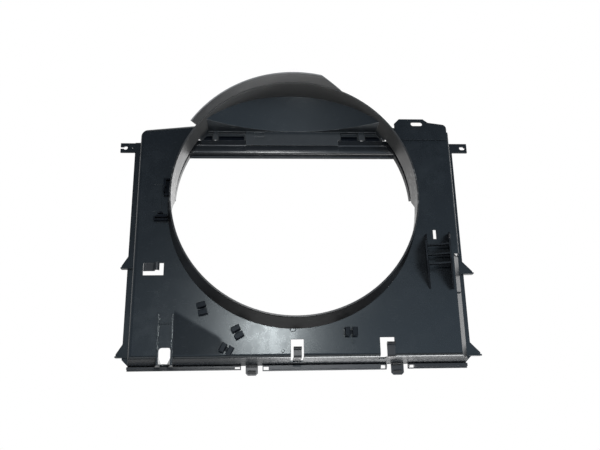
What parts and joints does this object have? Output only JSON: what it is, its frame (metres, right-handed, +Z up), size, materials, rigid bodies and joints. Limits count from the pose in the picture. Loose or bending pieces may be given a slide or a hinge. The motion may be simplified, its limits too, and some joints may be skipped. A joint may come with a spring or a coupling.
{
  "type": "radiator fan shroud",
  "caption": "Ducted radiator fan shroud: a shallow panel with a large round fan opening, an upper hood with a peak, side ears, spring hooks and wire clips.",
  "frame": {"origin": "centre of the fan opening, in the plane of its engine-side rim", "axes": "+X to the right seen from the engine, +Y from the engine towards the radiator, +Z up"},
  "size_m": [0.7125, 0.126, 0.5625],
  "materials": {
    "panel_plastic": "moulded, satin",
    "ring_plastic": "moulded, satin",
    "hood_plastic": "moulded, matt",
    "clip_plastic": "moulded, satin",
    "strip_plastic": "moulded, matt"
  },
  "bodies": {
    "frame": {"shroud_panel": "panel_plastic", "fan_ring": "ring_plastic", "fan_visor": "hood_plastic", "fan_hood": "hood_plastic", "header_rail": "panel_plastic", "hood_snaps": "hood_plastic", "cable_guide_upper": "panel_plastic", "cable_guide_lower": "panel_plastic", "connector_cradle": "clip_plastic", "corner_plate": "panel_plastic", "drain_guide": "panel_plastic", "bottom_strip_left": "strip_plastic", "bottom_strip_middle": "strip_plastic", "bottom_strip_right": "strip_plastic", "wire_clip_a": "clip_plastic", "wire_clip_b": "clip_plastic", "wire_clip_c": "clip_plastic", "wire_clip_d": "clip_plastic"},
    "hose_hook_left": {"hose_hook_left": "clip_plastic"},
    "hose_hook_centre": {"hose_hook_centre": "clip_plastic"},
    "hose_hook_right": {"hose_hook_right": "clip_plastic"},
    "bottom_latch_left": {"bottom_latch_left": "clip_plastic"},
    "bottom_latch_right": {"bottom_latch_right": "clip_plastic"}
  },
  "joints": [
    {"name": "hose_hook_left_flex", "type": "hinge", "parent": "frame", "child": "hose_hook_left", "pos_m": [-0.2757, 0.027, -0.1428], "axis": [0, 0, -1], "range_deg": [0, 10], "stiffness_Nm_per_rad": 0.6},
    {"name": "hose_hook_centre_flex", "type": "hinge", "parent": "frame", "child": "hose_hook_centre", "pos_m": [-0.0065, 0.0607, -0.3015], "axis": [1, 0, 0], "range_deg": [0, 8], "stiffness_Nm_per_rad": 0.6},
    {"name": "hose_hook_right_flex", "type": "hinge", "parent": "frame", "child": "hose_hook_right", "pos_m": [0.1602, 0.0447, -0.3015], "axis": [1, 0, 0], "range_deg": [0, 8], "stiffness_Nm_per_rad": 0.6},
    {"name": "bottom_latch_left_flex", "type": "hinge", "parent": "frame", "child": "bottom_latch_left", "pos_m": [-0.0925, 0.0855, -0.3113], "axis": [1, 0, 0], "range_deg": [-8, 8], "stiffness_Nm_per_rad": 0.8},
    {"name": "bottom_latch_right_flex", "type": "hinge", "parent": "frame", "child": "bottom_latch_right", "pos_m": [0.1775, 0.0855, -0.3113], "axis": [1, 0, 0], "range_deg": [-8, 8], "stiffness_Nm_per_rad": 0.8}
  ]
}
